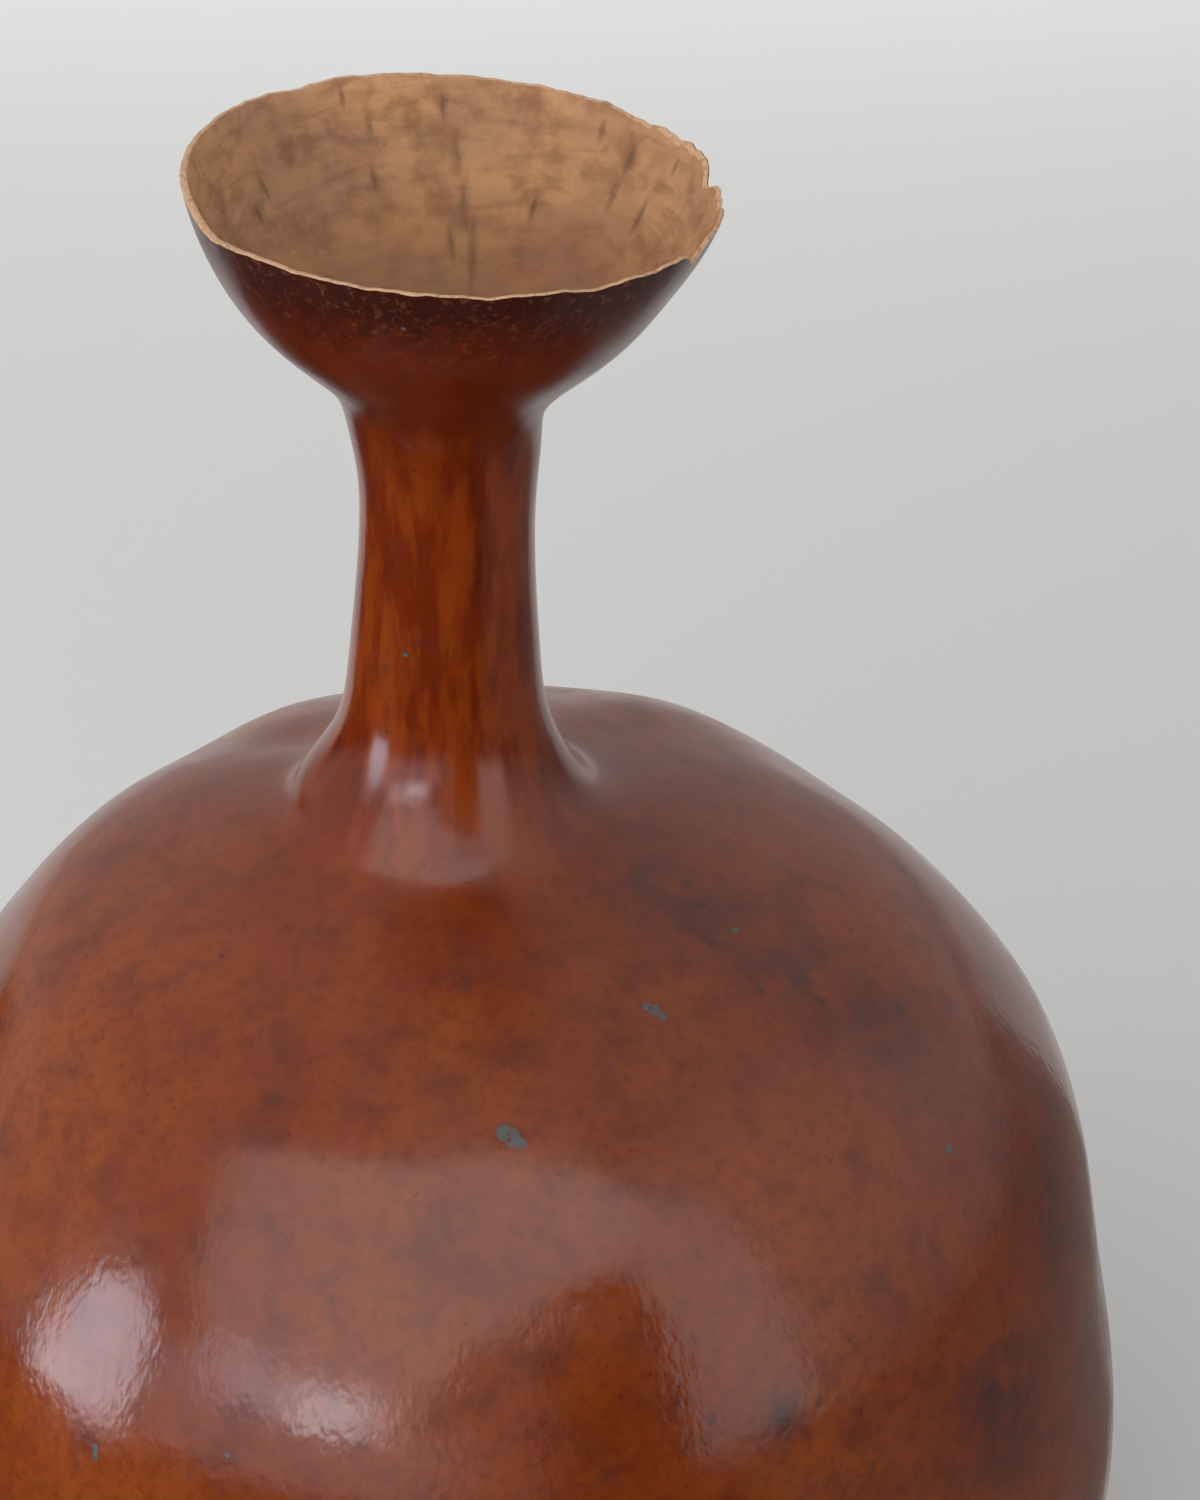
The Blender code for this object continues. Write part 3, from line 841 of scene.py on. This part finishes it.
@dataclass(frozen=True)
class DryFlesh:
    """The scraped inside of a dried gourd: tan, matt, fibrous wood with stains of the pulp.

    The pulp's veins ran down the inside. Where they tore away they left dark strokes. Its
    fibres are about 0.5 mm thick, which is too fine to show, and are drawn at fibre_mm.

    Attributes:
        deep: Heights where the darkening towards the throat starts and is full: painted shade, partly also
            the flesh's own brown.
        fibre_squash: What the place is scaled by along each axis, so that the fibres lie level.
        middle: The cup's axis.
        veins: Azimuth, height and radius in millimetres of each dark stroke.
    """

    tan: str = "#b0835f"
    honey: str = "#c69465"
    brown: str = "#81553a"
    mould: str = "#7b6d52"
    vein: str = "#4a3222"
    ior: float = 1.45
    roughness: float = 0.82
    light: Clouds = Clouds(26.0, 0.40, 0.65, 1.0, 4.0)
    patches: Clouds = Clouds(9.0, 0.42, 0.72, 0.68, 4.0)
    mouldy: Clouds = Clouds(10.0, 0.56, 0.76, 0.36)
    # Darkening towards the throat: painted shade, partly also the flesh's own brown.
    deep: tuple[float, float] = (0.497, 0.462)
    depth_shade: float = 0.75
    fibre_mm: float = 3.0
    fibre_squash: tuple[float, float, float] = (0.22, 0.22, 1.0)
    fibre_wander: float = 0.4
    fibre_low: float = 0.48
    fibre_high: float = 0.75
    fibre_dark: float = 0.55
    fibre_depth_mm: float = 0.25
    middle: tuple[float, float, float] = (-0.004, -0.001, 0.0)
    ring_radius: float = 0.050
    vein_times: float = 3.6
    vein_dark: float = 0.52
    veins: tuple[tuple[float, float, float], ...] = (
        (119.0, 0.5092, 1.1), (113.6, 0.5013, 1.5), (114.7, 0.4900, 1.3), (95.4, 0.5053, 1.5),
        (92.3, 0.4917, 2.1), (90.6, 0.4836, 2.4), (94.9, 0.4747, 2.0), (87.8, 0.4724, 2.6),
        (146.7, 0.4941, 1.1), (152.6, 0.4901, 1.2), (45.2, 0.4984, 1.7), (55.3, 0.5025, 1.1),
        (46.3, 0.4899, 1.8), (29.8, 0.5013, 1.1), (34.1, 0.4884, 1.6), (70.0, 0.4820, 1.3),
    )
    stains: Marks = Marks((
        (-0.0482, 0.0414, 0.4983, 6.0), (0.0191, 0.0520, 0.4954, 5.0), (-0.0045, 0.0480, 0.4790, 7.0),
        (0.0379, 0.0390, 0.4920, 6.0), (-0.0100, 0.0600, 0.5000, 4.0), (0.0300, -0.0480, 0.4860, 8.0),
    ), ragged=1.4, softness=0.95, most=0.60)

    def build(self) -> bpy.types.Material:
        """Makes the material of the bare inside.

        Returns:
            The material.
        """
        on = Dressing.start("dry_gourd_flesh", {"Roughness": self.roughness, "IOR": self.ior})
        shade_from, shade_to = self.deep
        # The cup's depth is darkened to brown: painted shade towards the throat, partly also the flesh's own
        # brown.
        deep = add_node(on.tree, "ShaderNodeMapRange",
                        {"Value": on.height, "From Min": shade_from, "From Max": shade_to,
                         "To Max": self.depth_shade}, interpolation_type="SMOOTHSTEP").outputs[0]
        squeezed = add_node(on.tree, "ShaderNodeVectorMath", {0: on.place, 1: self.fibre_squash},
                            operation="MULTIPLY")
        fibres = add_node(on.tree, "ShaderNodeTexNoise",
                          {"Vector": squeezed, "Scale": 1.0 / (self.fibre_mm * MM), "Detail": 5.0,
                           "Distortion": self.fibre_wander})
        fibre = add_node(on.tree, "ShaderNodeMapRange",
                         {"Value": fibres, "From Min": self.fibre_low, "From Max": self.fibre_high,
                          "To Max": self.fibre_dark}).outputs[0]
        colour = on.lay(self.tan, (self.light.mask(on), self.honey), (self.patches.mask(on), self.brown),
                        (fibre, self.brown), (deep, self.brown), (self.stains.mask(on), self.brown),
                        (self.mouldy.mask(on), self.mould), (self.strokes(on), self.vein))
        rough = add_node(on.tree, "ShaderNodeBump", {"Height": fibres, "Distance": self.fibre_depth_mm * MM})
        return on.finish({"Base Color": colour, "Normal": rough.outputs[0]})

    def strokes(self, on: Dressing) -> Socket:
        """The dark strokes of the veins, which run down the wall however it slopes.

        Args:
            on: The material in the making.

        Returns:
            Socket with the mask of the strokes.
        """
        spots = []
        for azimuth, height, radius_mm in self.veins:
            spot = toward(azimuth, 0.0) * self.ring_radius
            spots.append((spot.x, spot.y, height, radius_mm))
        on_ring = on.on_tube(on.around(self.middle)[1], self.ring_radius, on.height)
        torn = Marks(tuple(spots), ragged=0.9, softness=1.0, most=self.vein_dark, tall=self.vein_times)
        return torn.mask(on, on_ring)


@dataclass
class GourdShell:
    """The gourd as one closed shell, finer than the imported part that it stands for.

    One loop of rows runs from the middle of the belly's floor up the inside, across the cut
    and down the skin to the scar under the foot, and the columns turn it round the axis.
    """

    growth: Growth = Growth()
    rim: WornRim = WornRim()
    skin: PolishedSkin = PolishedSkin()
    edge: SawnEdge = SawnEdge()
    flesh: DryFlesh = DryFlesh()
    columns: int = 384
    skin_rows: int = 142
    flesh_rows: int = 84
    row_length: float = 0.010
    row_turn_deg: float = 5.0
    rim_reach: float = 0.045
    foot_radius: float = 0.050
    scar_radius: float = 0.022
    scar_depth: float = 0.0025
    scar_bowl: float = 1.3
    foot_rows: int = 12
    wall_at_rim: float = 0.0021
    wall_in_neck: float = 0.0036
    wall_in_belly: float = 0.0056
    wall_above_rim: float = 0.010
    cup_wall_drop: float = 0.080
    shoulder_wall_drop: float = 0.120
    edge_drop: float = 0.005
    curve_samples: int = 6000
    cut_steps: tuple[float, ...] = (0.16, 0.38, 0.62, 0.84)
    cut_round: float = 0.00022
    relief_mm: tuple[tuple[float, float], ...] = ((46.0, 0.50), (17.0, 0.07))
    relief_from: tuple[float, float] = (0.0, 0.060)
    relief_until: tuple[float, float] = (0.320, 0.160)

    def wall(self, height: np.ndarray) -> np.ndarray:
        """Thickness of the wall at each height."""
        neck = smooth_step((self.rim.height + self.wall_above_rim - height) / self.cup_wall_drop)
        belly = smooth_step((self.growth.neck_foot - height) / self.shoulder_wall_drop)
        in_cup = self.wall_at_rim + (self.wall_in_neck - self.wall_at_rim) * neck
        return in_cup + (self.wall_in_belly - self.wall_in_neck) * belly

    def straight(self, rows: int, drop: np.ndarray) -> np.ndarray:
        """Rows of the turned skin before it is bent, from the rim line to the foot's centre.

        Args:
            rows: How many rows run from the rim to the edge of the foot.
            drop: How far under the rim line each column starts.

        Returns:
            Points as an array of rows, columns and three coordinates.
        """
        fine = self.growth.curve(self.curve_samples)
        edge = np.diff(fine, axis=0)
        length = np.linalg.norm(edge, axis=1)
        heading = np.unwrap(np.arctan2(edge[:, 1], edge[:, 0]))
        turn = np.abs(np.diff(heading, prepend=heading[0]))
        along = np.concatenate([[0.0], np.cumsum(length)])
        rows_for = length / self.row_length + turn / math.radians(self.row_turn_deg)
        cost = np.concatenate([[0.0], np.cumsum(rows_for)])
        start = np.interp(-self.rim.height, -fine[:, 0], along)
        wanted = np.linspace(np.interp(start, along, cost), cost[-1], rows)
        nominal = np.interp(wanted, cost, along)
        angle = self.angles()
        cut = np.interp(-(self.rim.line(angle) - drop), -fine[:, 0], along)
        fade = 1.0 - smooth_step((nominal - start) / self.rim_reach)
        where = nominal[:, None] + (cut - start)[None, :] * fade[:, None]
        height = np.interp(where, along, fine[:, 0])
        radius = np.interp(where, along, fine[:, 1])
        under = np.linspace(1.0, 0.0, self.foot_rows + 1)[1:-1] * self.foot_radius
        bowl = self.scar_depth * (1.0 - np.clip(under / self.scar_radius, 0.0, 1.0) ** self.scar_bowl)
        height = np.vstack([height, np.repeat(bowl[:, None], len(angle), axis=1)])
        radius = np.vstack([radius, np.repeat(under[:, None], len(angle), axis=1)])
        return np.stack([radius * np.cos(angle), radius * np.sin(angle), height], axis=-1)

    def angles(self) -> np.ndarray:
        """Angle of each column."""
        return np.linspace(-math.pi, math.pi, self.columns, endpoint=False)

    @staticmethod
    def outward(grid: np.ndarray) -> np.ndarray:
        """The skin's outward direction at each point of a grown grid."""
        down = np.gradient(grid, axis=0)
        around = np.roll(grid, -1, axis=1) - np.roll(grid, 1, axis=1)
        normal = np.cross(down, around)
        return normal / np.linalg.norm(normal, axis=-1, keepdims=True)

    def grown(self, straight: np.ndarray) -> np.ndarray:
        """The grown points of a grid of straight ones."""
        return self.growth.grow(straight.reshape(-1, 3)).reshape(straight.shape)

    def relief(self, grid: np.ndarray) -> np.ndarray:
        """Slow undulations of the dried skin, which bend its reflections.

        Args:
            grid: Points of the grown skin.

        Returns:
            How far each point stands out.
        """
        out = np.zeros(grid.shape[:2])
        for width_mm, depth_mm in self.relief_mm:
            scale = 1.0 / (width_mm * MM)
            flat = [noise.noise(Vector(point) * scale) for point in grid.reshape(-1, 3)]
            out += depth_mm * MM * np.asarray(flat).reshape(out.shape)
        height = grid[..., 2]
        return out * rise_over(height, *self.relief_from) * (1.0 - rise_over(height, *self.relief_until))

    def rows(self) -> tuple[np.ndarray, list[Zone]]:
        """The loop of rows from the inside's floor over the rim to the foot.

        Returns:
            The points by row and column, and the zone of each strip between two rows.
        """
        flaked = self.rim.flaked(self.angles())
        skin_straight = self.straight(self.skin_rows, np.clip(flaked, 0.0, None) + self.cut_round)
        skin = self.grown(skin_straight)
        skin_out = self.outward(skin)
        outside = skin + skin_out * self.relief(skin)[..., None]
        width = self.rim.width(self.angles())
        lean = width * np.abs(skin_out[0, :, 2])
        flesh_drop = np.clip(-flaked, 0.0, None) + self.cut_round + lean
        flesh_straight = self.straight(self.flesh_rows, flesh_drop)
        flesh_skin = self.grown(flesh_straight)
        depth = flesh_straight[0, :, 2] - flesh_straight[..., 2]
        thinned = (self.wall_at_rim - width) * np.exp(-depth / self.edge_drop)
        thick = self.wall(flesh_straight[..., 2]) - thinned
        inside = flesh_skin - self.outward(flesh_skin) * thick[..., None]
        steps = np.asarray(self.cut_steps)[:, None, None]
        cut = inside[0] * (1.0 - steps) + outside[0] * steps
        cut[..., 2] += self.cut_round
        points = np.concatenate([inside[::-1], cut, outside])
        zones = [Zone.FLESH] * (len(inside) - 1) + [Zone.CUT] * (len(self.cut_steps) + 1)
        zones += [Zone.SKIN] * (len(outside) - 1)
        return points, zones

    def build(self) -> bpy.types.Object:
        """Makes the shell's object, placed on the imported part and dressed.

        Returns:
            The object.
        """
        grid, zones = self.rows()
        count, columns = grid.shape[:2]
        floor = grid[0].mean(axis=0)
        scar = grid[-1].mean(axis=0)
        points = np.vstack([grid.reshape(-1, 3), floor, scar])
        points = self.onto_part(points)
        column = np.arange(columns)
        after = (column + 1) % columns
        faces: list[tuple[int, ...]] = []
        slots: list[int] = []
        proud = self.rim.bell(self.angles(), *self.rim.proud_skin) > 0.5
        last_cut = len(zones) - 1 - zones[::-1].index(Zone.CUT)
        for row, zone in enumerate(zones[: count - 1]):
            base = row * columns
            next_base = base + columns
            quads = np.stack([base + column, next_base + column, next_base + after, base + after], axis=1)
            faces += [tuple(quad) for quad in quads.tolist()]
            hidden = proud & (last_cut - self.rim.proud_strips < row <= last_cut)
            slots += np.where(hidden, Zone.SKIN.value, zone.value).tolist()
        first, last = count * columns, count * columns + 1
        top = (count - 1) * columns
        faces += [(first, a, b) for a, b in zip(column.tolist(), after.tolist())]
        slots += [Zone.FLESH.value] * columns
        faces += [(last, top + b, top + a) for a, b in zip(column.tolist(), after.tolist())]
        slots += [Zone.SKIN.value] * columns
        mesh = bpy.data.meshes.new("gourd_shell")
        mesh.from_pydata(points.tolist(), [], faces)
        mesh.polygons.foreach_set("material_index", slots)
        mesh.shade_smooth()
        lip = (last_cut + 1) * columns
        pairs = [min(edge.vertices) >= lip and max(edge.vertices) < lip + columns for edge in mesh.edges]
        mesh.attributes.new("sharp_edge", "BOOLEAN", "EDGE").data.foreach_set("value", pairs)
        for finish in (self.skin, self.edge, self.flesh):
            mesh.materials.append(finish.build())
        shell = bpy.data.objects.new("gourd_shell", mesh)
        bpy.context.scene.collection.objects.link(shell)
        return shell

    @staticmethod
    def onto_part(points: np.ndarray) -> np.ndarray:
        """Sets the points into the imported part's box.

        Args:
            points: The shell's points in the gourd's own frame.

        Returns:
            The points in the part's frame.
        """
        low, high = (np.asarray(corner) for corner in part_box(NODE))
        own_low, own_high = points.min(axis=0), points.max(axis=0)
        return low + (points - own_low) * (high - low) / (own_high - own_low)

    def fit(self) -> bpy.types.Object:
        """Builds the shell, fixes it to the part's body and puts it in the part's place.

        Returns:
            The object.
        """
        shell = self.build()
        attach(shell, BODY)
        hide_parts(NODE)
        return shell


@dataclass(frozen=True)
class Panel:
    """A soft glowing panel that lights the gourd and shows in its gloss.

    Attributes:
        name: Plain name of the panel.
        corners: Azimuth and elevation of each corner as the gourd sees it, in degrees.
        distance: Distance of its plane from the gourd in metres.
        brightness: Brightness of its face.
        tint: Colour of its light.
        in_gloss: Whether the gourd's gloss shows it.
        lights: Whether it lights the gourd and the floor.
        soft: How far in and out of its edge the glow fades, as a share of its half width.
    """

    name: str
    corners: tuple[tuple[float, float], ...]
    distance: float
    brightness: float
    tint: str = "#ffffff"
    in_gloss: bool = True
    lights: bool = True
    soft: float = 0.12

    def build(self, target: Vector) -> bpy.types.Object:
        """Makes the panel.

        Args:
            target: The point on the gourd that the corners are seen from.

        Returns:
            The panel's object.
        """
        mesh = bpy.data.meshes.new(self.name)
        rays = [toward(*corner) for corner in self.corners]
        middle = sum(rays, Vector()).normalized()
        edge = [target + ray * (self.distance / ray.dot(middle)) for ray in rays]
        centre = sum(edge, Vector()) / len(edge)
        corners = [centre + (corner - centre) * share
                   for share in (1.0 - self.soft, 1.0 + self.soft) for corner in edge]
        count = len(edge)
        ring = [(i, (i + 1) % count, count + (i + 1) % count, count + i) for i in range(count)]
        mesh.from_pydata(corners, [], [tuple(range(count)), *ring])
        fade = mesh.attributes.new("fade", "FLOAT", "POINT")
        fade.data.foreach_set("value", [1.0] * count + [0.0] * count)
        glow = new_material(f"{self.name}_glow", {"Base Color": "#000000", "Emission Color": self.tint,
                                                  "Emission Strength": self.brightness})
        tree = glow.node_tree
        faded = add_node(tree, "ShaderNodeAttribute", attribute_name="fade")
        there = add_node(tree, "ShaderNodeMapRange", {"Value": faded.outputs["Fac"]},
                         interpolation_type="SMOOTHSTEP")
        tree.links.new(there.outputs[0], tree.nodes["Principled BSDF"].inputs["Alpha"])
        mesh.materials.append(glow)
        panel = bpy.data.objects.new(self.name, mesh)
        panel.visible_camera = False
        panel.visible_glossy = self.in_gloss
        panel.visible_diffuse = self.lights
        panel.visible_shadow = False
        bpy.context.scene.collection.objects.link(panel)
        return panel


@dataclass(frozen=True)
class Cloth:
    """A cloth beside the gourd that shows only in its gloss.

    Attributes:
        name: Plain name of the cloth.
        corners: Its corners in metres.
        felt: Colour of its felt.
    """

    name: str
    corners: tuple[tuple[float, float, float], ...]
    felt: str = "#100f0f"

    def build(self) -> bpy.types.Object:
        """Makes the cloth.

        Returns:
            The cloth's object.
        """
        mesh = bpy.data.meshes.new(self.name)
        mesh.from_pydata(self.corners, [], [tuple(range(len(self.corners)))])
        mesh.materials.append(new_material(f"{self.name}_felt", {"Base Color": self.felt, "Roughness": 1.0}))
        cloth = bpy.data.objects.new(self.name, mesh)
        cloth.visible_camera = False
        cloth.visible_diffuse = False
        cloth.visible_shadow = False
        bpy.context.scene.collection.objects.link(cloth)
        return cloth


def standing_cloth(name: str, distance: float, outline: tuple[tuple[float, float], ...]) -> Cloth:
    """A cloth that stands on the floor.

    Args:
        name: Plain name of the cloth.
        distance: Distance from the gourd's axis in metres.
        outline: Azimuth in degrees and height in metres of each corner.

    Returns:
        The cloth.
    """
    corners = []
    for azimuth, height in outline:
        place = toward(azimuth, 0.0) * distance
        corners.append((place.x, place.y, height))
    return Cloth(name, tuple(corners))


@dataclass
class Studio:
    """A plain pale floor, soft panels, cloths that only the gloss shows, and the camera.

    The camera's place, tilt and lens follow from the outline of the gourd in the photograph.
    """

    panels: tuple[Panel, ...] = (
        Panel("window", ((-174, -6), (-156, -5), (-154, 12), (-157, 17), (-162, 19), (-169, 16), (-173, 6)),
              0.95, 7.6, "#e3eafb", soft=0.14),
        Panel("ceiling", ((-164, 46), (-127, 71), (-66, 76.5), (-50, 66), (-38, 51), (-44, 44), (-57, 39),
                          (-72, 38), (-80, 34), (-92, 33), (-94, 25), (-110, 25), (-145, 24), (-150, 27)),
              4.0, 2.0, soft=0.12),
        Panel("sill", ((-143, 15), (-103, 15), (-103, 23), (-143, 23)), 2.2, 4.6, "#e8eefb", soft=0.20),
        Panel("lamp", ((-124, 16), (-109, 16), (-109, 22.5), (-124, 22.5)), 2.1, 8.5, "#eef2fb", soft=0.45),
        Panel("low_panel", ((-150, 0), (-92, 0), (-92, 15.5), (-150, 15.5)), 2.3, 1.5, "#eef2fb", soft=0.2),
        Panel("right_panel", ((-54, 0), (-27, 0), (-27, 44), (-40, 50), (-54, 40)), 2.3, 1.6, lights=False,
              soft=0.25),
        Panel("right_fill", ((-38, 8), (30, 8), (30, 56), (-38, 56)), 2.4, 0.75, lights=False, soft=0.3),
        Panel("left_light", ((150, 5), (205, 5), (205, 40), (150, 40)), 1.3, 1.6, in_gloss=False),
        Panel("back_light", ((62, -5), (120, -5), (120, 12), (62, 12)), 2.0, 2.6, in_gloss=False),
    )
    cloths: tuple[Cloth, ...] = (
        Cloth("front_cloth", ((-0.24, -0.17, 0.001), (-0.50, -0.42, 0.001), (-3.0, -3.0, 0.001),
                              (3.0, -3.0, 0.001), (0.22, -0.17, 0.001))),
        Cloth("left_cloth", ((-0.50, -0.42, 0.001), (-0.50, 0.40, 0.001), (-3.0, 3.0, 0.001),
                             (-3.0, -3.0, 0.001)), "#201f1e"),
        Cloth("right_cloth", ((0.22, -0.17, 0.001), (3.0, -3.0, 0.001), (3.0, 3.0, 0.001),
                              (0.26, 0.30, 0.001)), "#7a7876"),
        Cloth("near_cloth", ((-0.50, -0.42, 0.002), (-0.50, 0.47, 0.002), (0.05, 0.47, 0.002),
                             (0.08, 0.28, 0.002), (0.0, 0.20, 0.002), (-0.19, 0.10, 0.002),
                             (-0.24, -0.17, 0.002))),
        Cloth("back_cloth", ((-0.50, 0.40, 0.001), (0.26, 0.30, 0.001), (3.0, 3.0, 0.001),
                             (-3.0, 3.0, 0.001)), "#cccac8"),
        standing_cloth("card", 1.9, ((-78, 0.0), (-54.5, 0.0), (-55, 0.7), (-54, 1.05), (-55, 1.38),
                                     (-60, 1.60), (-67, 1.66), (-73, 1.60), (-77, 1.32), (-78, 1.0))),
    )
    target: tuple[float, float, float] = (0.0, -0.11, 0.27)
    world_grey: str = "#ffffff"
    world_brightness: float = 0.52
    floor_grey: str = "#cbcbc9"
    floor_size: float = 40.0
    floor_roughness: float = 0.95
    camera_place: tuple[float, float, float] = (0.03032, -0.91962, 0.9121)
    camera_tilt_deg: float = 31.5
    focal_pixels: float = 4100.0
    sensor_mm: float = 36.0

    def floor(self) -> bpy.types.Object:
        """Makes the pale floor with its matt paint.

        Returns:
            The floor's object.
        """
        bpy.ops.mesh.primitive_plane_add(size=self.floor_size, location=(0.0, 0.0, 0.0))
        floor = bpy.context.object
        floor.name = "studio_floor"
        paint = {"Base Color": self.floor_grey, "Roughness": self.floor_roughness}
        floor.data.materials.append(new_material("matt_floor_paint", paint))
        return floor

    def air(self) -> None:
        """Sets the even pale light of the room."""
        world = bpy.data.worlds.new("pale_room")
        world.use_nodes = True
        background = world.node_tree.nodes["Background"]
        background.inputs["Color"].default_value = linear(self.world_grey)
        background.inputs["Strength"].default_value = self.world_brightness
        bpy.context.scene.world = world

    def camera(self) -> bpy.types.Object:
        """Makes the camera at the photograph's place.

        Returns:
            The camera's object.
        """
        data = bpy.data.cameras.new("camera")
        data.sensor_width = self.sensor_mm
        data.lens = self.focal_pixels * self.sensor_mm / max(PHOTO_SIZE)
        camera = bpy.data.objects.new("camera", data)
        camera.location = self.camera_place
        camera.rotation_euler = (math.radians(90.0 - self.camera_tilt_deg), 0.0, 0.0)
        bpy.context.scene.collection.objects.link(camera)
        bpy.context.scene.camera = camera
        return camera

    def build(self) -> None:
        """Makes the whole studio."""
        self.camera()
        self.floor()
        self.air()
        for panel in self.panels:
            panel.build(Vector(self.target))
        for cloth in self.cloths:
            cloth.build()


def main() -> None:
    """Builds the studio and the gourd, and reports each piece."""
    logging.basicConfig(level=logging.INFO, format="%(name)s: %(message)s")
    bpy.context.scene.view_settings.view_transform = "Standard"
    Studio().build()
    log.info("studio: floor, panels, cloths and camera")
    shell = GourdShell().fit()
    log.info("%s: %d faces", shell.name, len(shell.data.polygons))


if __name__ == "__main__":
    main()
